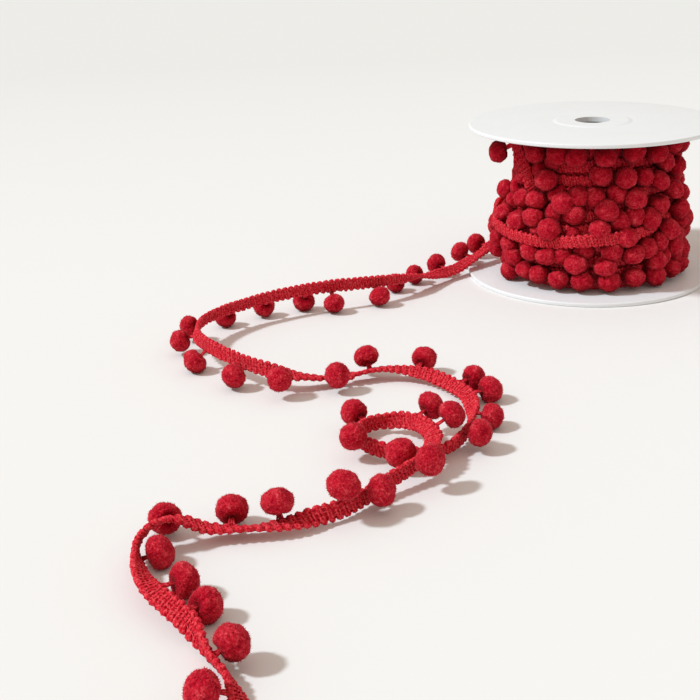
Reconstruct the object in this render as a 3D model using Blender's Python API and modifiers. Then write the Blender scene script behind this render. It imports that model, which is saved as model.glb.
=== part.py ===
"""Roll of pompom trim: a flanged reel, the trim wound on it, and its loose end.

Metres, +Z up. The reel stands on its lower flange, with its axis on the Z axis and its
underside at z = 0. The loose end leaves the pack at the back left, runs down over the
flange's rim and lies on the same surface in a hairpin and a loop. Neighbouring pieces
keep a gap of 0.3 mm.
"""

import math
from collections import namedtuple

import bmesh
import bpy
from mathutils import Vector

MM = 0.001
GAP = 0.3 * MM

# The reel
FLANGE_RADIUS = 67.5 * MM
FLANGE_THICKNESS = 2.2 * MM
RIM_ROUNDING = 0.6 * MM
REEL_HEIGHT = 85.0 * MM
SPINDLE_RADIUS = 9.5 * MM
CORE_RADIUS = 21.5 * MM
CORE_WALL = 2.0 * MM
HUB_RING_HEIGHT = 0.5 * MM
SPIGOT_LENGTH = 6.0 * MM
SPIGOT_WALL = 1.8 * MM
REEL_STEPS = 40

# The wound pack: heights and radii of its braid, bottom to top
PACK_OUTLINE = (
    (2.5, 46.6),
    (9.0, 47.2),
    (20.0, 47.6),
    (34.0, 48.1),
    (49.0, 44.2),
    (61.0, 42.7),
    (82.5, 42.5),
)
PACK_BANDS = 9
BAND_GROOVE = 1.0 * MM
BAND_SLANT = 2.5 * MM
BAND_SLANT_AZIMUTH = math.radians(200)
PACK_STEPS = 32

# The trim: a flat braid, and a cord along its edge that carries the pompoms
TRIM_WIDTH = 7.6 * MM
BRAID_THICKNESS = 1.4 * MM
EDGE_CORD_RADIUS = 0.7 * MM
POMPOM_RADIUS = 5.3 * MM
POMPOM_PITCH = 20.0 * MM
FIRST_POMPOM = 28.5 * MM
NECK_LENGTH = 1.4 * MM
NECK_RADIUS = 0.8 * MM
POMPOM_SINK = 2.0 * MM
POMPOM_RINGS = 4
LOOSE_POMPOM_SEGMENTS = 8
PACK_POMPOM_SEGMENTS = 6
EDGE_CORD_OFFSET = TRIM_WIDTH / 2 - EDGE_CORD_RADIUS
BRAID_WIDTH = TRIM_WIDTH - 2 * EDGE_CORD_RADIUS - GAP
BRAID_OFFSET = (BRAID_WIDTH - TRIM_WIDTH) / 2

# Turns of pompoms on the pack, bottom to top. Each row holds the pompoms of the left
# front, as azimuth in degrees and height in mm, then the spacing in degrees and the
# rise and fall in mm of those on the rest of the turn, and the azimuth where they end.
PackTurn = namedtuple("PackTurn", "front spacing zigzag end")
PACK_TURNS = (
    PackTurn(((203, 8), (218, 10.5), (228, 10.5), (241, 9), (255, 9)), 16, 0.5, 165),
    PackTurn(
        ((180, 15), (185, 22.5), (203, 22.5), (208, 16.5), (222, 23), (233, 21.5), (251, 18.5)),
        17,
        3.0,
        165,
    ),
    PackTurn(((181, 30), (193, 38), (210, 37), (222, 41), (234, 36), (264, 37)), 16, 4.0, 165),
    PackTurn(((186, 50), (208, 48.5), (222, 50), (241, 50), (248, 44), (250, 53)), 19, 2.5, 130),
    PackTurn(((206, 61), (228, 61)), 27, 2.0, 130),
    PackTurn(((219, 75), (236, 76), (248, 75)), 19, 1.0, 130),
)
# One pompom hangs clear of the pack on a long neck, as azimuth, height and radius
STRAY_POMPOM = (182, 70.5, 51.5)

# The loose end's route, as x, y and z in mm and its lean in degrees: 0 has the pompom
# edge level on the left of the way along, 90 straight up and 180 level on the right.
ROUTE = (
    (-31.3, 37.3, 17.0, 100),
    (-41.0, 29.0, 15.5, 117),
    (-51.0, 19.0, 12.0, 162),
    (-60.0, 9.5, 9.0, 185),
    (-68.0, 1.0, 7.0, 172),
    (-76.0, -6.5, 5.2, 152),
    (-82.5, -12.0, 5.2, 146),
    (-88.0, -17.5, 6.0, 158),
    (-94.0, -23.5, 7.0, 180),
    (-101.0, -30.5, 9.0, 215),
    (-110.0, -38.0, 10.5, 245),
    (-121.0, -44.5, 12.0, 260),
    (-137.0, -50.5, 13.0, 270),
    (-153.0, -55.5, 13.5, 265),
    (-168.0, -61.0, 13.0, 265),
    (-182.0, -68.0, 12.5, 260),
    (-194.0, -76.0, 12.0, 255),
    (-203.5, -86.0, 12.0, 250),
    (-210.0, -98.0, 12.0, 250),
    (-211.0, -112.0, 12.0, 250),
    (-206.0, -126.0, 12.0, 260),
    (-197.5, -138.0, 12.0, 260),
    (-187.5, -148.0, 11.0, 265),
    (-177.0, -155.5, 10.0, 255),
    (-167.0, -158.5, 8.0, 209),
    (-158.5, -158.0, 6.0, 175),
    (-151.0, -156.5, 4.4, 165),
    (-146.5, -155.8, 4.2, 125),
    (-141.5, -154.8, 4.2, 50),
    (-136.5, -153.5, 4.2, -17),
    (-125.0, -151.0, 5.2, -16),
    (-118.0, -151.5, 5.2, -5),
    (-109.5, -154.5, 5.0, 16),
    (-101.0, -161.0, 4.6, 37),
    (-93.5, -170.5, 4.2, 30),
    (-89.0, -181.5, 4.0, 25),
    (-88.5, -194.0, 4.0, 45),
    (-90.0, -205.5, 4.6, 67),
    (-93.0, -215.5, 4.8, 80),
    (-97.0, -223.5, 4.8, 80),
    (-101.5, -229.0, 4.4, 70),
    (-107.5, -232.5, 4.2, 60),
    (-115.0, -233.5, 4.4, 70),
    (-122.5, -232.0, 4.8, 85),
    (-129.0, -229.0, 4.8, 90),
    (-134.0, -223.0, 4.8, 90),
    (-136.0, -216.0, 4.8, 90),
    (-134.0, -209.5, 4.8, 90),
    (-128.0, -206.0, 5.2, 90),
    (-121.0, -206.5, 6.0, 80),
    (-114.5, -211.5, 7.5, 65),
    (-110.0, -221.0, 9.5, 40),
    (-108.0, -232.0, 10.5, 15),
    (-110.0, -241.5, 10.0, 30),
    (-114.5, -248.0, 8.5, 72),
    (-125.0, -256.5, 6.0, 90),
    (-130.5, -261.5, 5.0, 92),
    (-136.0, -267.0, 4.6, 94),
    (-142.0, -272.5, 4.6, 100),
    (-149.0, -276.5, 4.6, 112),
    (-157.5, -280.0, 4.4, 160),
    (-166.0, -282.0, 4.0, 188),
    (-173.5, -283.0, 4.0, 206),
    (-188.0, -284.0, 5.4, 182),
    (-194.5, -285.5, 9.0, 178),
    (-201.0, -288.0, 11.5, 209),
    (-206.0, -289.5, 10.0, 220),
    (-209.5, -293.5, 7.0, 250),
    (-208.0, -303.0, 6.0, 294),
    (-205.0, -313.0, 6.4, 327),
    (-199.5, -323.5, 7.2, 364),
    (-193.5, -331.5, 7.2, 381),
    (-188.0, -338.0, 6.4, 390),
    (-183.5, -345.0, 4.8, 440),
    (-179.0, -353.0, 4.0, 471),
    (-174.0, -361.5, 4.0, 474),
    (-171.0, -369.0, 3.6, 498),
    (-168.5, -376.5, 3.6, 530),
)

# The loose end's pompoms, a row for each strip of edge cord. Each pair is one pompom:
# how far along it sits from its even place, in mm, and how far it swings out of the
# braid's plane, in degrees.
STRIPS = (
    ((2, 20), (-2, -20), (1, 30), (-2, 20), (-4, -35)),
    ((-3, 75), (2, 55), (-4, -45), (-3, -55), (-2, -45)),
    ((0, -65), (-6, -60), (-5, -55), (3, -80), (3, -60)),
    ((6, 65), (3, 80), (3, -5), (6, -35), (-3, -30)),
    ((0, -95), (-1, -85), (7, -80), (3, -75), (1, -90)),
    ((4, -50), (-3, 0), (3, -70), (7, -90), (0, -35)),
    ((2, -90), (-1, -45), (-2, 20), (0, 100)),
    ((3, -5), (0, -55), (3, -105), (-1, 25)),
)

PLASTIC = (0.86, 0.86, 0.85, 1.0)
BRAID_RED = (0.60, 0.02, 0.04, 1.0)
POMPOM_RED = (0.52, 0.01, 0.03, 1.0)

Place = namedtuple("Place", "centre side normal station lean")


def clear_scene():
    for obj in list(bpy.data.objects):
        bpy.data.objects.remove(obj, do_unlink=True)


def new_collection(name, parent=None):
    collection = bpy.data.collections.new(name)
    (parent or bpy.context.scene.collection).children.link(collection)
    return collection


def new_material(name, colour, roughness):
    material = bpy.data.materials.new(name)
    material.use_nodes = True
    shader = material.node_tree.nodes["Principled BSDF"]
    shader.inputs["Base Color"].default_value = colour
    shader.inputs["Roughness"].default_value = roughness
    shader.inputs["Metallic"].default_value = 0.0
    return material


def new_object(name, data, collection, material=None):
    obj = bpy.data.objects.new(name, data)
    collection.objects.link(obj)
    if material:
        obj.data.materials.append(material)
    return obj


def as_operand(obj):
    obj.hide_render = True
    obj.display_type = "WIRE"
    return obj


def shade(mesh):
    mesh.shade_smooth()
    mesh.set_sharp_from_angle(angle=math.radians(40))


def bake(obj, collection):
    """Replaces an object by the mesh that its curve or modifiers make."""
    depsgraph = bpy.context.evaluated_depsgraph_get()
    mesh = bpy.data.meshes.new_from_object(obj.evaluated_get(depsgraph))
    welded = bmesh.new()
    welded.from_mesh(mesh)
    bmesh.ops.remove_doubles(welded, verts=welded.verts, dist=0.00001)
    welded.to_mesh(mesh)
    welded.free()
    name = obj.name
    matrix = obj.matrix_world.copy()
    bpy.data.objects.remove(obj, do_unlink=True)
    baked = bpy.data.objects.new(name, mesh)
    baked.matrix_world = matrix
    collection.objects.link(baked)
    shade(mesh)
    return baked


def turned(name, section, steps, collection, material):
    """Turns a closed section about Z. At +X it runs down its outer side."""
    mesh = bpy.data.meshes.new(name)
    count = len(section)
    points = [(radius, 0.0, height) for radius, height in section]
    edges = [(index, (index + 1) % count) for index in range(count)]
    mesh.from_pydata(points, edges, [])
    obj = new_object(name, mesh, collection, material)
    screw = obj.modifiers.new("Turn", "SCREW")
    screw.steps = steps
    screw.render_steps = steps
    screw.use_merge_vertices = True
    screw.merge_threshold = 0.00001
    return bake(obj, collection)


def add_union(obj, operands):
    union = obj.modifiers.new("Fuse", "BOOLEAN")
    union.operation = "UNION"
    union.solver = "EXACT"
    union.operand_type = "COLLECTION"
    union.collection = operands


# The reel


def build_lower_flange(collection, material):
    top = FLANGE_THICKNESS
    spigot_outer = CORE_RADIUS - CORE_WALL - GAP
    section = (
        (spigot_outer - SPIGOT_WALL, top + SPIGOT_LENGTH),
        (spigot_outer, top + SPIGOT_LENGTH),
        (spigot_outer, top),
        (FLANGE_RADIUS - RIM_ROUNDING, top),
        (FLANGE_RADIUS, top - RIM_ROUNDING),
        (FLANGE_RADIUS, RIM_ROUNDING),
        (FLANGE_RADIUS - RIM_ROUNDING, 0.0),
        (SPINDLE_RADIUS, 0.0),
        (SPINDLE_RADIUS, top),
        (spigot_outer - SPIGOT_WALL, top),
    )
    return turned("reel_lower_flange", section, REEL_STEPS, collection, material)


def build_upper_flange(collection, material):
    top = REEL_HEIGHT
    bottom = REEL_HEIGHT - FLANGE_THICKNESS
    spigot_outer = CORE_RADIUS - CORE_WALL - GAP
    section = (
        (SPINDLE_RADIUS, top + HUB_RING_HEIGHT),
        (CORE_RADIUS - HUB_RING_HEIGHT, top + HUB_RING_HEIGHT),
        (CORE_RADIUS, top),
        (FLANGE_RADIUS - RIM_ROUNDING, top),
        (FLANGE_RADIUS, top - RIM_ROUNDING),
        (FLANGE_RADIUS, bottom + RIM_ROUNDING),
        (FLANGE_RADIUS - RIM_ROUNDING, bottom),
        (spigot_outer, bottom),
        (spigot_outer, bottom - SPIGOT_LENGTH),
        (spigot_outer - SPIGOT_WALL, bottom - SPIGOT_LENGTH),
        (spigot_outer - SPIGOT_WALL, bottom),
        (SPINDLE_RADIUS, bottom),
    )
    return turned("reel_upper_flange", section, REEL_STEPS, collection, material)


def build_core(collection, material):
    top = REEL_HEIGHT - FLANGE_THICKNESS - GAP
    bottom = FLANGE_THICKNESS + GAP
    section = (
        (CORE_RADIUS, top),
        (CORE_RADIUS, bottom),
        (CORE_RADIUS - CORE_WALL, bottom),
        (CORE_RADIUS - CORE_WALL, top),
    )
    return turned("reel_core", section, REEL_STEPS, collection, material)


# The loose end's path


def route_places():
    """One place for each row of the route, with the directions across the trim there."""
    centres = [Vector(row[:3]) * MM for row in ROUTE]
    leans = [math.radians(row[3]) for row in ROUTE]
    steps = [(after - before).normalized() for before, after in zip(centres, centres[1:])]
    ways = [steps[0]]
    ways += [(before + after).normalized() for before, after in zip(steps, steps[1:])]
    ways.append(steps[-1])
    places = []
    station = 0.0
    for index, (centre, way, lean) in enumerate(zip(centres, ways, leans)):
        if index:
            station += (centre - centres[index - 1]).length
        left = Vector((0.0, 0.0, 1.0)).cross(way).normalized()
        up = way.cross(left)
        side = left * math.cos(lean) + up * math.sin(lean)
        places.append(Place(centre, side, way.cross(side), station, lean))
    return places


def place_at(places, station):
    """The place a given length along the loose end, between its two nearest rows."""
    for before, after in zip(places, places[1:]):
        if station <= after.station:
            break
    share = (station - before.station) / (after.station - before.station)
    centre = before.centre.lerp(after.centre, share)
    side = before.side.lerp(after.side, share).normalized()
    normal = before.normal.lerp(after.normal, share).normalized()
    lean = before.lean + (after.lean - before.lean) * share
    return Place(centre, side, normal, station, lean)


def trim_curve(name, places, offset, collection):
    """A curve beside the route's middle line, turned to lie as the trim does there."""
    data = bpy.data.curves.new(name, "CURVE")
    data.dimensions = "3D"
    data.twist_mode = "Z_UP"
    data.fill_mode = "FULL"
    data.use_fill_caps = True
    spline = data.splines.new("POLY")
    spline.points.add(len(places) - 1)
    for point, place in zip(spline.points, places):
        point.co = (*(place.centre + place.side * offset), 1.0)
        point.tilt = place.lean + math.pi / 2
    return new_object(name, data, collection)


def build_braid(places, collection, material):
    braid = trim_curve("tail_braid", places, BRAID_OFFSET, collection)
    braid.data.bevel_depth = BRAID_THICKNESS / 2
    braid.data.bevel_resolution = 2
    braid.data.extrude = (BRAID_WIDTH - BRAID_THICKNESS) / 2
    braid.data.materials.append(material)
    return braid


# Pompoms


def add_pompom(name, centre, segments, operands):
    ball = bmesh.new()
    bmesh.ops.create_uvsphere(
        ball, u_segments=segments, v_segments=POMPOM_RINGS, radius=POMPOM_RADIUS
    )
    mesh = bpy.data.meshes.new(name)
    ball.to_mesh(mesh)
    ball.free()
    obj = as_operand(new_object(name, mesh, operands))
    obj.location = centre
    obj.rotation_euler.z = math.atan2(centre.y, centre.x)


def add_neck(name, start, end, operands):
    way = end - start
    cone = bmesh.new()
    bmesh.ops.create_cone(
        cone,
        cap_ends=True,
        segments=4,
        radius1=NECK_RADIUS,
        radius2=NECK_RADIUS,
        depth=way.length,
    )
    mesh = bpy.data.meshes.new(name)
    cone.to_mesh(mesh)
    cone.free()
    obj = as_operand(new_object(name, mesh, operands))
    obj.location = (start + end) / 2
    obj.rotation_euler = way.to_track_quat("Z", "Y").to_euler()
    return obj


def pompom_centre(place, swing):
    """A pompom hangs off the trim's edge, and rests on the surface where it would sink."""
    way = place.side * math.cos(swing) + place.normal * math.sin(swing)
    centre = place.centre + place.side * (TRIM_WIDTH / 2) + way * (NECK_LENGTH + POMPOM_RADIUS)
    centre.z = max(centre.z, POMPOM_RADIUS)
    return centre


def loose_pompoms(places):
    """For each strip, its pompoms as pairs of a place on the edge and a centre."""
    strips = []
    count = 0
    for row in STRIPS:
        strip = []
        for drift, swing in row:
            station = FIRST_POMPOM + POMPOM_PITCH * count + drift * MM
            place = place_at(places, station)
            strip.append((place, pompom_centre(place, math.radians(swing))))
            count += 1
        strips.append(strip)
    return strips


def strip_places(places, start, end):
    inner = [place for place in places if start < place.station < end]
    return [place_at(places, start), *inner, place_at(places, end)]


def build_strips(places, collection, cutters, material):
    """The edge cord in strips, each fused with the necks and pompoms that it carries."""
    start = places[0].station
    count = 0
    for index, strip in enumerate(loose_pompoms(places), start=1):
        name = f"tail_pompoms_{index}"
        count += len(strip)
        end = FIRST_POMPOM + POMPOM_PITCH * (count - 0.5)
        if index == len(STRIPS):
            end = places[-1].station
        own = strip_places(places, start, end - GAP)
        start = end + GAP
        cord = trim_curve(name, own, EDGE_CORD_OFFSET, collection)
        cord.data.bevel_depth = EDGE_CORD_RADIUS
        cord.data.bevel_resolution = 0
        cord = bake(cord, collection)
        cord.data.materials.append(material)
        operands = new_collection(f"operands_{name}", cutters)
        for number, (place, centre) in enumerate(strip, start=1):
            root = place.centre + place.side * EDGE_CORD_OFFSET
            add_neck(f"neck_{index}_{number}", root, centre, operands)
            add_pompom(f"pompom_{index}_{number}", centre, LOOSE_POMPOM_SEGMENTS, operands)
        add_union(cord, operands)


# The wound pack


def outline_radius(height):
    """The pack's radius at a height, read between the rows of its outline."""
    for (low, low_radius), (high, high_radius) in zip(PACK_OUTLINE, PACK_OUTLINE[1:]):
        if height <= high * MM:
            break
    share = (height / MM - low) / (high - low)
    return (low_radius + (high_radius - low_radius) * share) * MM


def pack_section():
    """Down the outer side band by band, a groove between each two, then up the bore."""
    bottom = PACK_OUTLINE[0][0] * MM
    top = PACK_OUTLINE[-1][0] * MM
    bore = CORE_RADIUS + GAP
    section = []
    for half_band in range(2 * PACK_BANDS + 1):
        height = top - (top - bottom) * half_band / (2 * PACK_BANDS)
        groove = 0.0 if half_band % 2 else BAND_GROOVE
        section.append((outline_radius(height) - groove, height))
    section += [(bore, bottom), (bore, top)]
    return section


def slant_bands(mesh):
    """Tips the wound bands to and fro, as trim that is fed to and fro winds."""
    bottom = PACK_OUTLINE[0][0] * MM
    top = PACK_OUTLINE[-1][0] * MM
    for vertex in mesh.vertices:
        x, y, z = vertex.co
        if math.hypot(x, y) < (CORE_RADIUS + GAP) * 1.1:
            continue
        middle_share = math.sin(math.pi * (z - bottom) / (top - bottom))
        azimuth = math.atan2(y, x) - BAND_SLANT_AZIMUTH
        vertex.co.z = z + BAND_SLANT * middle_share * math.sin(azimuth)


def turn_places(turn):
    """The azimuths and heights of one turn's pompoms."""
    places = [(azimuth, height) for azimuth, height in turn.front]
    middle = sum(height for azimuth, height in turn.front) / len(turn.front)
    last = turn.front[-1][0]
    arc = 360 + turn.end - last
    count = round(arc / turn.spacing)
    for number in range(1, count + 1):
        rise = turn.zigzag * (-1) ** number
        places.append((last + arc * number / count, middle + rise))
    return places


def around(azimuth, height, radius):
    angle = math.radians(azimuth)
    return Vector((radius * math.cos(angle), radius * math.sin(angle), height))


def is_clear(centre, places, loose_centres):
    """Whether a pompom on the pack stays clear of the loose end where it leaves."""
    clearance = POMPOM_RADIUS + TRIM_WIDTH / 2 + 2 * GAP
    if any((centre - place.centre).length < clearance for place in places):
        return False
    return all((centre - other).length > 2 * POMPOM_RADIUS + GAP for other in loose_centres)


def build_pack(places, collection, cutters, material):
    pack = turned("wound_pack", pack_section(), PACK_STEPS, collection, material)
    slant_bands(pack.data)
    operands = new_collection("operands_wound_pack", cutters)
    loose_centres = [centre for strip in loose_pompoms(places) for place, centre in strip]
    for row, turn in enumerate(PACK_TURNS, start=1):
        for number, (azimuth, height) in enumerate(turn_places(turn), start=1):
            radius = outline_radius(height * MM) + POMPOM_RADIUS - POMPOM_SINK
            centre = around(azimuth, height * MM, radius)
            if is_clear(centre, places, loose_centres):
                add_pompom(f"turn_{row}_{number}", centre, PACK_POMPOM_SEGMENTS, operands)
    azimuth, height, radius = STRAY_POMPOM
    centre = around(azimuth, height * MM, radius * MM)
    root = around(azimuth, height * MM, outline_radius(height * MM) - 2 * BAND_GROOVE)
    add_neck("stray_neck", root, centre, operands)
    add_pompom("stray_pompom", centre, PACK_POMPOM_SEGMENTS, operands)
    add_union(pack, operands)


def main():
    clear_scene()
    parts = new_collection("pompom_trim_roll")
    cutters = new_collection("cutters")
    plastic = new_material("white plastic", PLASTIC, 0.35)
    braid_yarn = new_material("red braid", BRAID_RED, 0.9)
    pompom_yarn = new_material("red pompom yarn", POMPOM_RED, 0.95)
    places = route_places()
    build_lower_flange(parts, plastic)
    build_upper_flange(parts, plastic)
    build_core(parts, plastic)
    build_pack(places, parts, cutters, pompom_yarn)
    build_braid(places, parts, braid_yarn)
    build_strips(places, parts, cutters, pompom_yarn)


main()
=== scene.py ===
"""The looks of a roll of pompom trim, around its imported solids. Metres, +Z up."""

import math
import random
from collections import namedtuple

import bmesh
import bpy
import numpy as np
from mathutils import Matrix, Vector, noise


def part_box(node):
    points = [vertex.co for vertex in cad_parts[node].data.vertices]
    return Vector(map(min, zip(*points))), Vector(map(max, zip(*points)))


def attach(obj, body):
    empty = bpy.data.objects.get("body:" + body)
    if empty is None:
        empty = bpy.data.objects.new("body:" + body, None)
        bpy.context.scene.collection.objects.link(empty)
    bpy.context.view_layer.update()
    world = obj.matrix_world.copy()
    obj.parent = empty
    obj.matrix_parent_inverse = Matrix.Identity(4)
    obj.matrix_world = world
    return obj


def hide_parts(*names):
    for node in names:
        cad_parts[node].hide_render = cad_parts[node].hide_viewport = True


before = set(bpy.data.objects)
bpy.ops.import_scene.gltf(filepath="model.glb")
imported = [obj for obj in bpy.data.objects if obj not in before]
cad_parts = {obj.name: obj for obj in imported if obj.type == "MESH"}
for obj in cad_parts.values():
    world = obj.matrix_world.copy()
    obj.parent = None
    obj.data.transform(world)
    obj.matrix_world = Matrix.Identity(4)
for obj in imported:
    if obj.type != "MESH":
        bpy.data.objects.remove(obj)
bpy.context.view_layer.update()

MM = 0.001

# The camera for a picture of 700 by 700 pixels. Its pitch down and its roll are in radians.
CAMERA_PLACE = (-0.1379, -0.6055, 0.1934)
CAMERA_PITCH = 0.3740
CAMERA_ROLL = -0.0403
FOCAL_PIXELS = 1100
PICTURE_PIXELS = 700
SENSOR = 36.0
FARTHEST_SEEN = 100.0

# The light: how far a shadow runs along X and Y for each unit of height, and the levels
SHADOW_RUN = (0.90, 0.10)
SUN_COLOUR = (0.87, 0.98, 1.04)
SUN_STRENGTH = 2.52
SUN_ANGLE = math.radians(6)
SKY_COLOUR = (1.0, 0.885, 0.785)
SKY_STRENGTH = 0.61
FLOOR_SIZE = 40.0

# The reel's sizes, read from the solids that this script dresses where they show there
CORE_GAP = 0.3 * MM
FLANGE_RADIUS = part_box("reel_lower_flange")[1].x
FLANGE_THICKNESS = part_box("reel_core")[0].z - CORE_GAP
RIM_ROUNDING = 0.7 * MM
RIM_STEPS = 6
CORE_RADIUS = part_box("reel_core")[1].x
UPPER_FLANGE_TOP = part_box("reel_upper_flange")[1].z
HUB_RING_HEIGHT = 0.5 * MM
HUB_RING_SLOPE = 2.0 * MM
SPINDLE_RADIUS = 9.5 * MM
REEL_STEPS = 144
REEL_MERGE_DISTANCE = 0.01 * MM
REEL_SHARP_ANGLE = math.radians(13)

# The braid: a coil of doubled yarn, pressed flat, and rows of stitches along both faces.
# The yarn's radius is given in shares, for the faces and for what the edges' lobes add.
TRIM_WIDTH = 7.6 * MM
COIL_PITCH = 3.2 * MM
COIL_DEPTH = 0.34 * MM
COIL_FLATNESS = 3
COIL_YARN = 0.74 * MM
PAIR_OFFSET = 0.65 * MM
FACE_SHARE = 0.90
FACE_PINCH = 0.15
EDGE_LOBE = 0.64
EDGE_SPREAD = 0.34
EDGE_START = 0.72
EDGE_CURVE = 1.5
COIL_REACH = TRIM_WIDTH / 2 - COIL_YARN * (FACE_SHARE + EDGE_LOBE)
COIL_STEPS = 16
COIL_JITTER = 0.16 * MM
# Where it is wound on, only these angles of the coil show, in degrees
RIB_ANGLES = (-35, 0, 30, 75, 105, 150, 180, 215)
LINING_WIDTH = 5.2 * MM
LINING_THICKNESS = 1.1 * MM
LINING_STEP = 1.6 * MM
STITCH_ROWS = 4
STITCH_YARN = 0.25 * MM
STITCH_STEP = 1.067 * MM
STITCH_SWAY = 0.22 * MM
# How high the stitches ride on the coil's yarn and how far they dip, in its radii
STITCH_LEVEL = 0.5
STITCH_DIP = 0.22

# The pompoms, and the edge cord and necks that carry them. The shares are the least and
# the most of its radius that a pompom has along its own X, Y and Z.
POMPOM_RADIUS = 5.3 * MM
POMPOM_PITCH = 20.0 * MM
FIRST_POMPOM = 28.5 * MM
POMPOM_SHARES = ((1.0, 1.0, 0.90), (1.13, 1.13, 1.0))
WOUND_POMPOM_SHARE = 1.10
FLOOR_GAP = 0.05 * MM
NECK_LENGTH = 1.4 * MM
NECK_YARN = 0.5 * MM
NECK_YARNS = (-1, 0, 1)
# A neck's yarns draw together: how far along the neck, and how wide apart for its yarn
NECK_COURSE = ((0.0, 2.6), (0.15, 1.8), (0.3, 1.3), (0.5, 1.2), (0.8, 0.8))
STRAY_NECK_YARN = 0.9 * MM
EDGE_CORD_OFFSET = 2.5 * MM
EDGE_YARN = 0.35 * MM
EDGE_TWIST = 2.6 * MM
EDGE_TWIST_REACH = 0.72 * EDGE_YARN
EDGE_STEP = 1.6 * EDGE_YARN

# A pompom's own form, for a radius of 1: how many corners and fibres it has, and its seeds
LOOSE_DETAIL = (1400, 680)
LOOSE_SEEDS = range(1, 7)
WOUND_DETAIL = (560, 150)
WOUND_SEEDS = range(11, 17)
# Each seed looks at its own part of the noise, so many units further along X, Y and Z
SEED_STEPS = (3.1, 1.7, -2.3)
# How far a corner strays along its spiral, in steps, and round it, in even gaps
SPREAD_STEP = (0.2, 0.8)
SPREAD_TURN = 0.5
# Lumps, tufts, curls and grain: each one's height and how close together they stand
TUFTS = ((0.06, 1.5), (0.05, 3.6), (0.055, 6.5), (0.04, 12.0))
DIMPLE_DEPTH = 0.36
DIMPLE_REACH = 0.52
BALL_RADIUS = 0.98
FIBRE_ROOT = 0.93
FIBRE_RISE = 0.045
FIBRE_WIDTH = 0.024
FIBRE_LENGTHS = (0.05, 0.15)
FIBRE_LEAN = 0.6
# Painted light and shade, 0 to 1: on the ball, lit on its rise, shaded in its dimple, and on
# fibres
BALL_PAINTED_LIGHT = 0.29
RISE_HIGHLIGHT = 2.4
DIMPLE_SHADE = 1.44
PAINTED_LIGHT_NAME = "painted_light"
FIBRE_ROOT_SHADE = 0.50
FIBRE_TIP_HIGHLIGHT = 0.68

# The loose end's route, the same rows as the solids follow: x, y and z in mm and the lean
# in degrees. 0 has the pompom edge level on the left of the way along, 90 straight up.
ROUTE = (
    (-31.3, 37.3, 17.0, 100),
    (-41.0, 29.0, 15.5, 117),
    (-51.0, 19.0, 12.0, 162),
    (-60.0, 9.5, 9.0, 185),
    (-68.0, 1.0, 7.0, 172),
    (-76.0, -6.5, 5.2, 152),
    (-82.5, -12.0, 5.2, 146),
    (-88.0, -17.5, 6.0, 158),
    (-94.0, -23.5, 7.0, 180),
    (-101.0, -30.5, 9.0, 215),
    (-110.0, -38.0, 10.5, 245),
    (-121.0, -44.5, 12.0, 260),
    (-137.0, -50.5, 13.0, 270),
    (-153.0, -55.5, 13.5, 265),
    (-168.0, -61.0, 13.0, 265),
    (-182.0, -68.0, 12.5, 260),
    (-194.0, -76.0, 12.0, 255),
    (-203.5, -86.0, 12.0, 250),
    (-210.0, -98.0, 12.0, 250),
    (-211.0, -112.0, 12.0, 250),
    (-206.0, -126.0, 12.0, 260),
    (-197.5, -138.0, 12.0, 260),
    (-187.5, -148.0, 11.0, 265),
    (-177.0, -155.5, 10.0, 255),
    (-167.0, -158.5, 8.0, 209),
    (-158.5, -158.0, 6.0, 175),
    (-151.0, -156.5, 4.4, 165),
    (-146.5, -155.8, 4.2, 125),
    (-141.5, -154.8, 4.2, 50),
    (-136.5, -153.5, 4.2, -17),
    (-125.0, -151.0, 5.2, -16),
    (-118.0, -151.5, 5.2, -5),
    (-109.5, -154.5, 5.0, 16),
    (-101.0, -161.0, 4.6, 37),
    (-93.5, -170.5, 4.2, 30),
    (-89.0, -181.5, 4.0, 25),
    (-88.5, -194.0, 4.0, 45),
    (-90.0, -205.5, 4.6, 67),
    (-93.0, -215.5, 4.8, 80),
    (-97.0, -223.5, 4.8, 80),
    (-101.5, -229.0, 4.4, 70),
    (-107.5, -232.5, 4.2, 60),
    (-115.0, -233.5, 4.4, 70),
    (-122.5, -232.0, 4.8, 85),
    (-129.0, -229.0, 4.8, 90),
    (-134.0, -223.0, 4.8, 90),
    (-136.0, -216.0, 4.8, 90),
    (-134.0, -209.5, 4.8, 90),
    (-128.0, -206.0, 5.2, 90),
    (-121.0, -206.5, 6.0, 80),
    (-114.5, -211.5, 7.5, 65),
    (-110.0, -221.0, 9.5, 40),
    (-108.0, -232.0, 10.5, 15),
    (-110.0, -241.5, 10.0, 30),
    (-114.5, -248.0, 8.5, 72),
    (-125.0, -256.5, 6.0, 90),
    (-130.5, -261.5, 5.0, 92),
    (-136.0, -267.0, 4.6, 94),
    (-142.0, -272.5, 4.6, 100),
    (-149.0, -276.5, 4.6, 112),
    (-157.5, -280.0, 4.4, 160),
    (-166.0, -282.0, 4.0, 188),
    (-173.5, -283.0, 4.0, 206),
    (-188.0, -284.0, 5.4, 182),
    (-194.5, -285.5, 9.0, 178),
    (-201.0, -288.0, 11.5, 209),
    (-206.0, -289.5, 10.0, 220),
    (-209.5, -293.5, 7.0, 250),
    (-208.0, -303.0, 6.0, 294),
    (-205.0, -313.0, 6.4, 327),
    (-199.5, -323.5, 7.2, 364),
    (-193.5, -331.5, 7.2, 381),
    (-188.0, -338.0, 6.4, 390),
    (-183.5, -345.0, 4.8, 440),
    (-179.0, -353.0, 4.0, 471),
    (-174.0, -361.5, 4.0, 474),
    (-171.0, -369.0, 3.6, 498),
    (-168.5, -376.5, 3.6, 530),
)
# Between two rows the smooth line takes this many steps
ROUTE_STEPS = 16

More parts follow.
